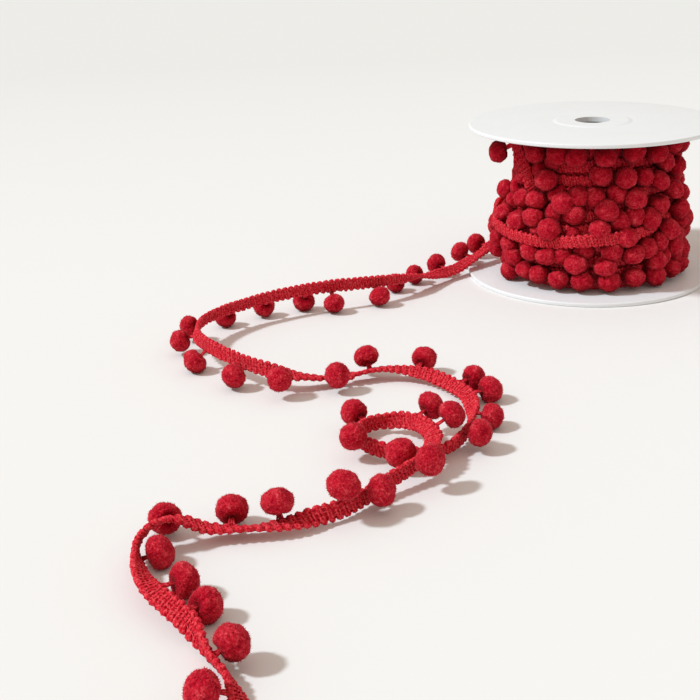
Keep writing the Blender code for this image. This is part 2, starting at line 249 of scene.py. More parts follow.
# A row for each strip of edge cord, a pair for each pompom: how far along it sits from
# its even place, in mm, and how far it swings out of the braid's plane, in degrees
STRIPS = (
    ((2, 20), (-2, -20), (1, 30), (-2, 20), (-4, -35)),
    ((-3, 75), (2, 55), (-4, -45), (-3, -55), (-2, -45)),
    ((0, -65), (-6, -60), (-5, -55), (3, -80), (3, -60)),
    ((6, 65), (3, 80), (3, -5), (6, -35), (-3, -30)),
    ((0, -95), (-1, -85), (7, -80), (3, -75), (1, -90)),
    ((4, -50), (-3, 0), (3, -70), (7, -90), (0, -35)),
    ((2, -90), (-1, -45), (-2, 20), (0, 100)),
    ((3, -5), (0, -55), (3, -105), (-1, 25)),
)

# The wound pack: heights and radii of its braid, in mm
PACK_OUTLINE = (
    (2.5, 46.6),
    (9.0, 47.2),
    (20.0, 47.6),
    (34.0, 48.1),
    (49.0, 44.2),
    (61.0, 42.7),
    (82.5, 42.5),
)
# The turns of pompoms on it. In front each has its azimuth, in degrees, and its height.
# From the last of those the turn goes on to its end, at a spacing in degrees, to and fro
# by its zigzag.
PackTurn = namedtuple("PackTurn", "front spacing zigzag end")
PACK_TURNS = (
    PackTurn(((203, 8), (218, 10.5), (228, 10.5), (241, 9), (255, 9)), 16, 0.5, 165),
    PackTurn(
        (
            (180, 15),
            (185, 22.5),
            (203, 22.5),
            (208, 16.5),
            (222, 23),
            (233, 21.5),
            (251, 18.5),
        ),
        17,
        3.0,
        165,
    ),
    PackTurn(((181, 30), (193, 38), (210, 37), (222, 41), (234, 36), (264, 37)), 16, 4.0, 165),
    PackTurn(((186, 50), (208, 48.5), (222, 50), (241, 50), (248, 44), (250, 53)), 19, 2.5, 130),
    PackTurn(((206, 61), (228, 61)), 27, 2.0, 130),
    PackTurn(((219, 75), (236, 76), (248, 75)), 19, 1.0, 130),
)
POMPOM_SINK = 2.0 * MM
SUNK_PLACES = ((208, 48.5), (206, 61), (248, 44), (250, 53))
SUNK_DEPTH = 3.0 * MM
NECK_HANG = 1.4
NECK_WANDER = 0.4
# One pompom hangs clear of the pack: azimuth, height and radius of it and of its neck's root
STRAY_POMPOM = (182, 70.5, 51.5)
STRAY_ROOT = (192, 77, 43)
# The pompoms of the turns below, deeper still in front, and what room they keep
DEEP_POMPOMS = 60
DEEP_TRIALS = 60 * DEEP_POMPOMS
DEEP_SPACING = 8.4 * MM
DEEP_RISE = (-0.3, 1.8)
DEEP_FRONT = (172, 262)
DEEP_FRONT_INSET = 2.4 * MM
STRAND_CLEARANCE = 7.0 * MM
TRIM_GAP = 0.6 * MM
POMPOM_GAP = 0.3 * MM
# Stretches that show braid alone, by azimuth and height
BareStretch = namedtuple("BareStretch", "start end low high")
BARE_STRETCHES = (
    BareStretch(130, 178, 38, 85),
    BareStretch(178, 205, 55, 85),
    BareStretch(230, 264, 54, 71),
)
# The turns of braid themselves, and the yarn behind them
BAND_TURNS = 10
BAND_INSET = 1.3 * MM
BAND_SLANT = 2.5 * MM
BAND_SLANTS_A_TURN = 1.13
BAND_STEP = math.radians(2)
CORE_INSET = 2.6 * MM

# One turn lies over the others: rows of azimuth, height and how far it stands out
OUTER_TURN = (
    (140, 44, 0.0),
    (160, 40, 3.0),
    (180, 36, 6.5),
    (194, 33, 9.0),
    (207, 31, 8.5),
    (218, 30, 8.0),
    (227, 29.5, 7.5),
    (236, 29, 5.0),
    (242, 30, 5.5),
    (249, 31.5, 8.0),
    (258, 32.5, 8.5),
    (276, 33, 6.0),
    (300, 35, 2.0),
    (320, 38, 0.0),
)
# A strand that hangs down the left front, in the same terms, and how far its face turns
STRAND_FACING = math.radians(45)
HANGING_STRAND = (
    (185, 80, 1.0),
    (196, 77, 4.0),
    (205, 71, 5.5),
    (210, 65, 5.0),
    (214, 58, 4.0),
    (217, 51, 1.0),
    (219, 45, -1.0),
)

# Materials: colours are linear, a noise is its scale per metre and its detail, and a bump
# is a noise, its strength and its distance
Bump = namedtuple("Bump", "scale detail strength distance")

# Painted shade between yarns: how a crevice's colour darkens, from shut in to open, and its reach
CREVICE_SHADE_STOPS = (
    (0.10, (0.30, 0.10, 0.14)),
    (0.50, (0.72, 0.45, 0.50)),
    (0.85, (1.0, 1.0, 1.0)),
)
CREVICE_SAMPLES = 6
BRAID_CREVICE_REACH = 2.8 * MM
LOOSE_CREVICE_REACH = 7 * MM
WOUND_CREVICE_REACH = 12 * MM
# Painted shade of the upper flange: the share of its red the wound yarn keeps as it nears it
FLANGE_SHADE = (0.68, 0.26, 0.42)
FLANGE_SHADE_LOW = 54 * MM
FLANGE_SHADE_HIGH = 80 * MM

YARN_ROUGHNESS = 0.5
YARN_SHEEN_TINT = (1.0, 0.30, 0.33, 1.0)
BRAID_SPECKLE = (1300.0, 5.0)
BRAID_STOPS = (
    (0.34, (0.53, 0.003, 0.016)),
    (0.5, (0.79, 0.030, 0.052)),
    (0.68, (0.92, 0.120, 0.135)),
)
BRAID_SHEEN = 0.05
BRAID_SPECULAR = 0.02
BRAID_BUMP = Bump(2200.0, 3.0, 0.9, 0.6 * MM)

POMPOM_SPECKLE = (1500.0, 4.0)
POMPOM_SPECKLE_SHARE = 0.72
# Colours along the speckle and painted light: deep red in painted shade, pink at painted
# highlights
POMPOM_STOPS = (
    (0.20, (0.15, 0.0003, 0.005)),
    (0.53, (0.42, 0.003, 0.017)),
    (0.70, (0.59, 0.018, 0.036)),
    (0.80, (0.70, 0.050, 0.068)),
    (1.00, (0.86, 0.17, 0.18)),
)
# Painted light on the loose end's pompoms and painted shade on the pack's, on the same yarn
LOOSE_PAINTED_LIGHT = 1.06
WOUND_PAINTED_SHADE = 0.94
POMPOM_SHEEN = 0.10
POMPOM_SPECULAR = 0.01
POMPOM_BUMP = Bump(1700.0, 3.0, 1.0, 0.6 * MM)

PLASTIC_ROUGHNESS = 0.42
PLASTIC_MOTTLE = (60.0, 3.0)
PLASTIC_STOPS = ((0.2, (0.81, 0.82, 0.83)), (0.8, (0.83, 0.845, 0.86)))
PLASTIC_BUMP = Bump(700.0, 2.0, 0.06, 0.2 * MM)

FLOOR_ROUGHNESS = 0.9
FLOOR_SPECULAR = 0.1
# The paper near the reel and, a metre behind it, greyer with painted shade
FLOOR_SHADE_STOPS = ((0.0, (0.835, 0.825, 0.815)), (1.0, (0.76, 0.757, 0.745)))

# The seed of everything that is drawn for the whole scene
SEED = 7

Track = namedtuple("Track", "stations centres sides normals")


# Small tools


def new_object(name, data, material=None):
    obj = bpy.data.objects.new(name, data)
    bpy.context.scene.collection.objects.link(obj)
    if material:
        data.materials.append(material)
    return obj


def new_mesh(name, points, faces, material):
    mesh = bpy.data.meshes.new(name)
    mesh.from_pydata([tuple(point) for point in points], [], [tuple(face) for face in faces])
    mesh.shade_smooth()
    return new_object(name, mesh, material)


def as_mesh(obj):
    """Replaces a curve by its mesh."""
    depsgraph = bpy.context.evaluated_depsgraph_get()
    mesh = bpy.data.meshes.new_from_object(obj.evaluated_get(depsgraph))
    name = obj.name
    bpy.data.objects.remove(obj, do_unlink=True)
    return new_object(name, mesh)


def unit(vectors):
    return vectors / np.linalg.norm(vectors, axis=1, keepdims=True)


def yarns(name, lines, radius, roundness, material):
    """One curve of many yarns. A line is an array of points and one of radius shares."""
    data = bpy.data.curves.new(name, "CURVE")
    data.dimensions = "3D"
    data.bevel_depth = radius
    data.bevel_resolution = roundness
    data.use_fill_caps = True
    for points, shares in lines:
        spline = data.splines.new("POLY")
        spline.points.add(len(points) - 1)
        spline.points.foreach_set("co", np.c_[points, np.ones(len(points))].ravel())
        spline.points.foreach_set("radius", shares)
    return new_object(name, data, material)


# Tracks: the middle line of the trim, and the directions across it and out of it


def between(low, high, start, end, knots):
    share = ((knots - start) / (end - start))[:, None]
    return low * (1 - share) + high * share


def smooth_rows(rows, steps):
    """Rows on a centripetal Catmull-Rom curve through the given ones."""
    rows = np.array(rows, float)
    rows = np.vstack([2 * rows[0] - rows[1], rows, 2 * rows[-1] - rows[-2]])
    gaps = np.sqrt(np.linalg.norm(np.diff(rows[:, :3], axis=0), axis=1))
    knots = np.concatenate([[0.0], np.cumsum(gaps)])
    parts = []
    for index in range(1, len(rows) - 2):
        k0, k1, k2, k3 = knots[index - 1 : index + 3]
        p0, p1, p2, p3 = rows[index - 1 : index + 3]
        at = np.linspace(k1, k2, steps, endpoint=False)
        a1 = between(p0, p1, k0, k1, at)
        a2 = between(p1, p2, k1, k2, at)
        a3 = between(p2, p3, k2, k3, at)
        b1 = between(a1, a2, k0, k2, at)
        b2 = between(a2, a3, k1, k3, at)
        parts.append(between(b1, b2, k1, k2, at))
    return np.vstack([*parts, rows[-2:-1]])


def lengths_along(points):
    steps = np.linalg.norm(np.diff(points, axis=0), axis=1)
    return np.concatenate([[0.0], np.cumsum(steps)])


def loose_track():
    """The loose end's track, smooth through the rows of its route."""
    rows = smooth_rows(ROUTE, ROUTE_STEPS)
    centres = rows[:, :3] * MM
    leans = np.radians(rows[:, 3:])
    ways = unit(np.gradient(centres, axis=0))
    lefts = unit(np.cross([0.0, 0.0, 1.0], ways))
    ups = np.cross(ways, lefts)
    sides = lefts * np.cos(leans) + ups * np.sin(leans)
    return Track(lengths_along(centres), centres, sides, np.cross(ways, sides))


def laid(track, along, across, out):
    """Points at distances along, across and out of the trim that follows a track."""

    def at_stations(values):
        columns = [np.interp(along, track.stations, column) for column in values.T]
        return np.stack(columns, axis=1)

    sides = at_stations(track.sides) * across[:, None]
    normals = at_stations(track.normals) * out[:, None]
    return at_stations(track.centres) + sides + normals


# The braid


def yarn_swell(across):
    """The yarn's share of its radius: pinched by the stitches, fat in the edges' lobes."""
    row_gap = TRIM_WIDTH / (STITCH_ROWS + 1)
    row = across / row_gap + (STITCH_ROWS + 1) / 2
    pinch = FACE_SHARE + FACE_PINCH * np.cos(2 * math.pi * row)
    return pinch + EDGE_LOBE * edge_share(across)


def edge_share(across):
    """1 at an edge of the coil, 0 over its face."""
    beyond = (np.abs(across) / COIL_REACH - EDGE_START) / (1 - EDGE_START)
    return np.clip(beyond, 0.0, 1.0) ** EDGE_CURVE


def coil_points(track, start, angles, offset, jitter):
    """A stretch of the flat coil, whose angle is 0 at the edge that carries pompoms."""
    level = COIL_REACH * np.cos(angles)
    spread = 1 - (1 - EDGE_SPREAD) * edge_share(level)
    along = start + COIL_PITCH * angles / (2 * math.pi) + offset * spread + jitter[0]
    out = COIL_DEPTH * np.tanh(COIL_FLATNESS * np.sin(angles))
    along = np.clip(along, 0.0, track.stations[-1])
    return laid(track, along, level + jitter[1], out), yarn_swell(level)


def coil_lines(track, draw):
    """The doubled yarn that winds from edge to edge over the braid's whole length."""
    turns = int((track.stations[-1] - COIL_PITCH) / COIL_PITCH)
    angles = np.linspace(0, 2 * math.pi * turns, turns * COIL_STEPS + 1)
    turn_marks = 2 * math.pi * np.arange(turns + 1)
    lines = []
    for offset in (-PAIR_OFFSET, PAIR_OFFSET):
        wander = [
            np.interp(angles, turn_marks, draw.normal(0, COIL_JITTER, turns + 1))
            for axis in range(2)
        ]
        lines.append(coil_points(track, COIL_PITCH / 2, angles, offset, wander))
    return lines


def lining(name, track, material):
    """A flat strip inside the coil, so that no light comes through between its ribs."""
    along = np.arange(COIL_PITCH, track.stations[-1] - COIL_PITCH, LINING_STEP)
    corners = []
    for across, out in ((-1, -1), (1, -1), (1, 1), (-1, 1)):
        reach = np.full(len(along), across * LINING_WIDTH / 2)
        level = np.full(len(along), out * LINING_THICKNESS / 2)
        corners.append(laid(track, along, reach, level))
    points = np.stack(corners, axis=1).reshape(-1, 3)
    faces = [(3, 2, 1, 0)]
    for ring in range(len(along) - 1):
        for corner in range(4):
            after = (corner + 1) % 4
            near = 4 * ring
            faces.append((near + corner, near + after, near + after + 4, near + corner + 4))
    last = 4 * (len(along) - 1)
    faces.append((last, last + 1, last + 2, last + 3))
    return new_mesh(name, points, faces, material)


def rib_lines(track, draw):
    """The same coil where it is wound on: only the ribs of its outer face."""
    turns = int((track.stations[-1] - COIL_PITCH) / COIL_PITCH)
    angles = np.radians(RIB_ANGLES)
    lines = []
    for turn in range(turns):
        for offset in (-PAIR_OFFSET, PAIR_OFFSET):
            jitter = draw.normal(0, COIL_JITTER, 2)
            start = COIL_PITCH * (turn + 0.5)
            lines.append(coil_points(track, start, angles, offset, jitter))
    return lines


def stitch_lines(track, faces):
    """Rows of stitches that ride over the ribs of each face and dip between them."""
    along = np.arange(COIL_PITCH / 2, track.stations[-1] - COIL_PITCH / 2, STITCH_STEP)
    lines = []
    for face in faces:
        for row in range(STITCH_ROWS):
            middle = TRIM_WIDTH * ((row + 1) / (STITCH_ROWS + 1) - 0.5)
            rib_angle = face * math.acos(middle / COIL_REACH)
            phase = 2 * math.pi * along / COIL_PITCH - rib_angle - math.pi
            across = middle + STITCH_SWAY * np.sin(phase)
            level = STITCH_LEVEL + STITCH_DIP * np.cos(phase)
            out = face * (COIL_DEPTH + COIL_YARN * level)
            lines.append((laid(track, along, across, out), np.ones(len(along))))
    return lines


# Pompoms


def tuft_height(way, seed):
    """How far a pompom's surface stands out along a unit direction."""
    place = Vector(way) + Vector([seed * step for step in SEED_STEPS])
    return sum(height * noise.noise(place * closeness) for height, closeness in TUFTS)


def dimple(way):
    """The hollow round the neck, which is at +Z."""
    tilt = math.acos(max(-1.0, min(1.0, way[2])))
    return -DIMPLE_DEPTH * math.exp(-((tilt / DIMPLE_REACH) ** 2))


def spread_ways(count, draw):
    """Unit directions spread evenly on a spiral, each a little off its even place."""
    golden = math.pi * (3 - math.sqrt(5))
    ways = []
    for number in range(count):
        z = 1 - 2 * (number + draw.uniform(*SPREAD_STEP)) / count
        turn = golden * number + draw.uniform(-SPREAD_TURN, SPREAD_TURN) / math.sqrt(count)
        flat = math.sqrt(1 - z * z)
        ways.append(Vector((flat * math.cos(turn), flat * math.sin(turn), z)))
    return ways


def hull_faces(ways):
    """The triangles of the ball whose corners are unit directions."""
    ball = bmesh.new()
    for way in ways:
        ball.verts.new(way)
    ball.verts.index_update()
    bmesh.ops.convex_hull(ball, input=ball.verts)
    faces = []
    for face in ball.faces:
        corners = [vertex.index for vertex in face.verts]
        if face.normal.dot(face.calc_center_median()) < 0:
            corners.reverse()
        faces.append(tuple(corners))
    ball.free()
    return faces


def add_fibre(points, faces, painted_light, way, root, draw):
    """A short fibre that stands on a pompom, as a thin closed spike with painted light and shade.
    """
    lean = Vector([draw.uniform(-FIBRE_LEAN, FIBRE_LEAN) for axis in range(3)])
    across = way.orthogonal().normalized()
    along = way.cross(across)
    first = len(points)
    for corner in range(3):
        angle = corner * 2 * math.pi / 3
        reach = across * math.cos(angle) + along * math.sin(angle)
        points.append(way * root + reach * FIBRE_WIDTH)
        painted_light.append(FIBRE_ROOT_SHADE)
    reach = (way + lean).normalized() * draw.uniform(*FIBRE_LENGTHS)
    points.append(way * (root + FIBRE_RISE) + reach)
    painted_light.append(FIBRE_TIP_HIGHLIGHT)
    faces.append((first + 2, first + 1, first))
    for corner in range(3):
        faces.append((first + corner, first + (corner + 1) % 3, first + 3))


def pompom_shape(seed, corners, fibres):
    """A pompom of radius 1: a tufted ball and short fibres on it, and the light painted on each
    point.
    """
    draw = random.Random(seed)
    ways = spread_ways(corners, draw)
    faces = hull_faces(ways)
    points = []
    painted_light = []
    for way in ways:
        rise = tuft_height(way, seed)
        hollow = dimple(way)
        points.append(way * (BALL_RADIUS + rise + hollow))
        # A painted highlight on each rise and painted shade in the dimple
        painted_light.append(BALL_PAINTED_LIGHT + RISE_HIGHLIGHT * rise + DIMPLE_SHADE * hollow)
    for way in spread_ways(fibres, draw):
        root = FIBRE_ROOT + tuft_height(way, seed) + dimple(way)
        add_fibre(points, faces, painted_light, way, root, draw)
    return np.array(points), np.array(faces), np.clip(painted_light, 0.0, 1.0)


def pompom_turn(neck_way, spin):
    """The turn that brings a pompom's dimple to face its neck."""
    return np.array(neck_way.to_track_quat("Z", "Y").to_matrix() @ Matrix.Rotation(spin, 3, "Z"))


def pompoms_mesh(name, places, shapes, size, draw, material):
    """Many pompoms as one mesh. A place is a centre and the way from it to its neck."""
    points = []
    faces = []
    painted_light = []
    count = 0
    for centre, neck_way in places:
        shape_points, shape_faces, shape_painted_light = shapes[draw.integers(len(shapes))]
        turn = pompom_turn(neck_way, draw.uniform(0, 2 * math.pi))
        scale = size * POMPOM_RADIUS * draw.uniform(*POMPOM_SHARES)
        points.append((shape_points * scale) @ turn.T + np.array(centre))
        faces.append(shape_faces + count)
        painted_light.append(shape_painted_light)
        count += len(shape_points)
    points = np.vstack(points)
    points[:, 2] = np.maximum(points[:, 2], FLOOR_GAP)
    obj = new_mesh(name, points, np.vstack(faces), material)
    # The painted light and shade of each point, for the material
    attribute = obj.data.attributes.new(PAINTED_LIGHT_NAME, "FLOAT", "POINT")
    attribute.data.foreach_set("value", np.concatenate(painted_light))
    return obj


def joined(name, objects):
    """Joins objects into the first of them, which takes the name."""
    with bpy.context.temp_override(active_object=objects[0], selected_editable_objects=objects):
        bpy.ops.object.join()
    objects[0].name = name
    return objects[0]


# The loose end


def chord_stations():
    """Stations along the straight chords between the route's rows, as the solids count."""
    return lengths_along(np.array([row[:3] for row in ROUTE]) * MM)


def on_track(track, station):
    """The place on the smooth track that has a station of the chords."""
    row = np.interp(station, chord_stations(), np.arange(len(ROUTE)))
    return np.interp(row * ROUTE_STEPS, np.arange(len(track.stations)), track.stations)


def at_place(track, along):
    """The centre, side and normal at one distance along a track."""
    one = np.array([along])
    zero = np.array([0.0])
    centre = Vector(laid(track, one, zero, zero)[0])
    side = Vector(laid(track, one, np.array([1.0]), zero)[0]) - centre
    normal = Vector(laid(track, one, zero, np.array([1.0]))[0]) - centre
    return centre, side.normalized(), normal.normalized()


def strip_pompoms(track, index):
    """One strip's pompoms, as the distance along, the root on the edge and the centre."""
    before = sum(len(row) for row in STRIPS[:index])
    found = []
    for number, (drift, swing) in enumerate(STRIPS[index]):
        station = FIRST_POMPOM + POMPOM_PITCH * (before + number) + drift * MM
        along = on_track(track, station)
        middle, side, normal = at_place(track, along)
        angle = math.radians(swing)
        way = side * math.cos(angle) + normal * math.sin(angle)
        centre = middle + side * (TRIM_WIDTH / 2) + way * (NECK_LENGTH + POMPOM_RADIUS)
        centre.z = max(centre.z, POMPOM_RADIUS)
        found.append((along, middle + side * EDGE_CORD_OFFSET, centre))
    return found


def twisted(track, start, end, across, out):
    """Two yarns twisted about each other along a track."""
    along = np.arange(start, end, EDGE_STEP)
    turn = 2 * math.pi * along / EDGE_TWIST
    lines = []
    for phase in (0, math.pi):
        sway = across + EDGE_TWIST_REACH * np.cos(turn + phase)
        rise = out + EDGE_TWIST_REACH * np.sin(turn + phase)
        lines.append((laid(track, along, sway, rise), np.ones(len(along))))
    return lines


def neck_lines(root, centre, side_way, share):
    """The yarns of a neck, from the edge cord into the pompom."""
    lines = []
    way = centre - root
    for hand in NECK_YARNS:
        bow = side_way * (hand * NECK_YARN)
        points = [root + way * reach + bow * spread for reach, spread in NECK_COURSE]
        lines.append((np.array(points), np.full(len(points), share)))
    return lines


def strip_ends(track, index):
    """Where a strip of edge cord starts and ends along the track."""
    count = sum(len(row) for row in STRIPS[:index])
    start = on_track(track, FIRST_POMPOM + POMPOM_PITCH * (count - 0.5))
    end = on_track(track, FIRST_POMPOM + POMPOM_PITCH * (count + len(STRIPS[index]) - 0.5))
    if index == 0:
        start = COIL_PITCH / 2
    if index == len(STRIPS) - 1:
        end = track.stations[-1] - COIL_PITCH / 2
    return start, end


def build_strip(track, index, shapes, draw, ball_material, yarn_material):
    """A strip of edge cord with its necks and pompoms."""
    start, end = strip_ends(track, index)
    lines = twisted(track, start, end, EDGE_CORD_OFFSET, 0.0)
    places = []
    for along, root, centre in strip_pompoms(track, index):
        ahead = at_place(track, along + MM)[0] - at_place(track, along)[0]
        lines += neck_lines(root, centre, ahead.normalized(), NECK_YARN / EDGE_YARN)
        places.append((centre, root - centre))
    name = f"tail_pompoms_{index + 1}"
    cord = as_mesh(yarns(f"{name}_yarn", lines, EDGE_YARN, 0, yarn_material))
    balls = pompoms_mesh(f"{name}_balls", places, shapes, 1.0, draw, ball_material)
    piece = joined(f"{name}_look", [balls, cord])
    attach(piece, "root")
    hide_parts(name)
    return piece


def build_tail(track, shapes, draw, materials):
    """The loose end along its whole track: its coil, stitches and lining, and the strips it
    carries.
    """
    braid = materials["braid"]
    coil = as_mesh(yarns("tail_coil", coil_lines(track, draw), COIL_YARN, 1, braid))
    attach(coil, "root")
    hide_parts("tail_braid")
    stitches = yarns("tail_stitches", stitch_lines(track, (-1, 1)), STITCH_YARN, 0, braid)
    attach(stitches, "root")
    filling = lining("tail_lining", track, braid)
    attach(filling, "root")
    strips = [
        build_strip(track, index, shapes, draw, materials["pompom"], braid)
        for index in range(len(STRIPS))
    ]


# The wound pack


def outline_radius(height):
    """The pack's radius at a height, in metres."""
    heights = [row[0] * MM for row in PACK_OUTLINE]
    radii = [row[1] * MM for row in PACK_OUTLINE]
    return np.interp(height, heights, radii)


def facing_track(centres, angles):
    """A track along places on the pack, whose face looks out at an angle at each of them."""
    ways = unit(np.gradient(centres, axis=0))
    outward = np.stack([np.cos(angles), np.sin(angles), 0 * angles], axis=1)
    sides = unit(np.cross(outward, ways))
    return Track(lengths_along(centres), centres, sides, np.cross(ways, sides))


def wound_track():
    """A track that winds up the pack, slanting to and fro as it goes."""
    low = PACK_OUTLINE[0][0] * MM + TRIM_WIDTH / 2
    high = PACK_OUTLINE[-1][0] * MM - TRIM_WIDTH / 2
    angles = np.arange(0, 2 * math.pi * BAND_TURNS, BAND_STEP)
    share = angles / angles[-1]
    sway = BAND_SLANT * np.sin(angles * BAND_SLANTS_A_TURN) * np.sin(math.pi * share)
    heights = low + (high - low) * share + sway
    radii = outline_radius(heights) - BAND_INSET
    centres = np.stack([radii * np.cos(angles), radii * np.sin(angles), heights], axis=1)
    return facing_track(centres, angles)


def outer_track(turn, facing):
    """The track of a stretch of trim over the turns, its face turned by an angle."""
    rows = []
    for azimuth, height, out in turn:
        radius = outline_radius(height * MM) / MM - BAND_INSET / MM + out
        rows.append(tuple(around(azimuth, height, radius)))
    centres = smooth_rows(rows, ROUTE_STEPS) * MM
    return facing_track(centres, np.arctan2(centres[:, 1], centres[:, 0]) + facing)


def turn_places(turn):
    """The azimuths and heights of one turn's pompoms."""
    places = list(turn.front)
    middle = sum(height for azimuth, height in turn.front) / len(turn.front)
    last = turn.front[-1][0]
    arc = 360 + turn.end - last
    count = round(arc / turn.spacing)
    for number in range(1, count + 1):
        rise = turn.zigzag * (-1) ** number
        places.append((last + arc * number / count, middle + rise))
    return places


def is_bare(azimuth, height):
    """Whether a place is in a stretch of the pack that shows no pompoms."""
    return any(
        stretch.start < azimuth % 360 < stretch.end
        and stretch.low * MM < height < stretch.high * MM
        for stretch in BARE_STRETCHES
    )


def around(azimuth, height, radius):
    """The place at an azimuth in degrees, a height and a radius from the reel's axis."""
    angle = math.radians(azimuth)
    return Vector((radius * math.cos(angle), radius * math.sin(angle), height))


def is_apart(centre, others, gap):
    """Whether a place is further than a gap from each of the others."""
    return all((centre - other).length > gap for other in others)


def distance_to(track, centre):
    """How near a track's middle line comes to a place."""
    return np.linalg.norm(track.centres - np.array(centre), axis=1).min()


def is_clear(centre, track, loose_centres):
    """Whether a pompom on the pack stays clear of the loose end where it leaves."""
    if distance_to(track, centre) < POMPOM_RADIUS + TRIM_WIDTH / 2 + TRIM_GAP:
        return False
    return is_apart(centre, loose_centres, 2 * POMPOM_RADIUS + POMPOM_GAP)


def is_clear_of_all(centre, tracks, loose_centres):
    """The same, and that it stays clear of the strands that lie over the pack."""
    if not is_clear(centre, tracks[0], loose_centres):
        return False
    return min(distance_to(track, centre) for track in tracks[1:]) > STRAND_CLEARANCE


def build_pack_core(material):
    """The yarn behind the outer turns, as a turned surface."""
    heights = [row[0] * MM for row in PACK_OUTLINE]
    section = [(outline_radius(height) - CORE_INSET, height) for height in reversed(heights)]
    bore = CORE_RADIUS + CORE_GAP
    section += [(bore, heights[0]), (bore, heights[-1])]
    return lathe("wound_pack_core", section, material)


def build_band(name, track, draw, material):
    """Turns of braid on the pack: the ribs of their outer face and its rows of stitches."""
    ribs = yarns(f"{name}_ribs", rib_lines(track, draw), COIL_YARN, 0, material)
    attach(ribs, "root")
    stitches = yarns(f"{name}_stitches", stitch_lines(track, (1,)), STITCH_YARN, 0, material)
    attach(stitches, "root")
    filling = lining(f"{name}_lining", track, material)
    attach(filling, "root")


def outer_places(track, loose_centres, draw):
    """The pompoms of the outer turns, each as a centre and the way to its neck."""
    rows = []
    for turn in PACK_TURNS:
        places = []
        for azimuth, height in turn_places(turn):
            radius = outline_radius(height * MM) + POMPOM_RADIUS - POMPOM_SINK
            if (azimuth, height) in SUNK_PLACES:
                radius -= SUNK_DEPTH
            centre = around(azimuth, height * MM, radius)
            if is_clear(centre, track, loose_centres) and not is_bare(azimuth, height * MM):
                hang = Vector((0, 0, draw.choice([-NECK_HANG, NECK_HANG])))
                neck_way = hang - around(azimuth, 0, 1)
                places.append((centre, neck_way + Vector(draw.normal(0, NECK_WANDER, 3))))
        rows.append(places)
    azimuth, height, radius = STRAY_POMPOM
    rows[-1].append((around(azimuth, height * MM, radius * MM), -around(azimuth, 0, 1)))
    return rows


def deep_places(taken, tracks, loose_centres, draw):
    """Pompoms of the turns below, which show between those of the outer ones."""
    low = PACK_OUTLINE[0][0] * MM + POMPOM_RADIUS
    high = PACK_OUTLINE[-1][0] * MM - POMPOM_RADIUS
    centres = list(taken)
    places = []
    for trial in range(DEEP_TRIALS):
        azimuth = draw.uniform(0, 360)
        height = draw.uniform(low, high)
        radius = outline_radius(height) + draw.uniform(*DEEP_RISE) * MM
        if DEEP_FRONT[0] < azimuth < DEEP_FRONT[1]:
            radius -= DEEP_FRONT_INSET
        centre = around(azimuth, height, radius)
        if is_bare(azimuth, height):
            continue
        is_spaced = is_apart(centre, centres, DEEP_SPACING)
        if is_spaced and is_clear_of_all(centre, tracks, loose_centres):
            centres.append(centre)
            places.append((centre, Vector(draw.normal(0, 1, 3)) - around(azimuth, 0, 1)))
        if len(places) == DEEP_POMPOMS:
            break
    return places


def build_pack_pompoms(tracks, shapes, draw, material):
    """The pack's pompoms, a piece for each outer turn and one for those that lie deeper."""
    loose_centres = []
    for index in range(len(STRIPS)):
        loose_centres += [centre for along, root, centre in strip_pompoms(tracks[0], index)]
    rows = outer_places(tracks[0], loose_centres, draw)
    taken = [centre for places in rows for centre, neck_way in places]
    rows.append(deep_places(taken, tracks, loose_centres, draw))
    for row, places in enumerate(rows, start=1):
        name = f"wound_pompoms_{row}"
        balls = pompoms_mesh(name, places, shapes, WOUND_POMPOM_SHARE, draw, material)
        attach(balls, "root")


def build_pack(track, shapes, draw, materials):
    """The wound pack: its core, its turns of braid, and their pompoms."""
    braid = materials["wound braid"]
    core = build_pack_core(braid)
    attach(core, "root")
    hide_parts("wound_pack")
    outer = outer_track(OUTER_TURN, 0.0)
    strand = outer_track(HANGING_STRAND, STRAND_FACING)
    build_band("wound", wound_track(), draw, braid)
    build_band("outer_turn", outer, draw, braid)
    build_band("hanging_strand", strand, draw, braid)
    build_pack_pompoms((track, outer, strand), shapes, draw, materials["wound pompom"])
    build_stray_neck(braid)


def build_stray_neck(material):
    """The thick neck of the pompom that hangs clear of the pack, from just under the flange."""
    azimuth, height, radius = STRAY_POMPOM
    centre = around(azimuth, height * MM, radius * MM)
    root_azimuth, root_height, root_radius = STRAY_ROOT
    root = around(root_azimuth, root_height * MM, root_radius * MM)
    lines = neck_lines(root, centre, Vector((0, 0, 1)), 1.0)
    neck = yarns("stray_neck", lines, STRAY_NECK_YARN, 1, material)
    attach(neck, "root")


# The reel


def lathe(name, section, material):
    """Turns a closed section about Z. At +X it runs down its outer side."""
    mesh = bpy.data.meshes.new(name)
    count = len(section)
    points = [(radius, 0.0, height) for radius, height in section]
    mesh.from_pydata(points, [(index, (index + 1) % count) for index in range(count)], [])
    obj = new_object(name, mesh, material)
    screw = obj.modifiers.new("Turn", "SCREW")
    screw.steps = REEL_STEPS
    screw.render_steps = REEL_STEPS
    screw.use_merge_vertices = True
    screw.merge_threshold = REEL_MERGE_DISTANCE
    obj = as_mesh(obj)
    obj.data.shade_smooth()
    obj.data.set_sharp_from_angle(angle=REEL_SHARP_ANGLE)
    return obj


def arc(centre, radius, start, end, steps):
    """Points of an arc in a section, from one angle in degrees to another."""
    points = []
    for step in range(steps + 1):
        angle = math.radians(start + (end - start) * step / steps)
        height = centre[1] + radius * math.sin(angle)
        points.append((centre[0] + radius * math.cos(angle), height))
    return points


def flange_section(bottom, top):
    """A flange with a rounded rim, from its top edge down to its bottom edge."""
    middle = FLANGE_RADIUS - RIM_ROUNDING
    upper = arc((middle, top - RIM_ROUNDING), RIM_ROUNDING, 90, 0, RIM_STEPS)
    lower = arc((middle, bottom + RIM_ROUNDING), RIM_ROUNDING, 0, -90, RIM_STEPS)
    return upper + lower


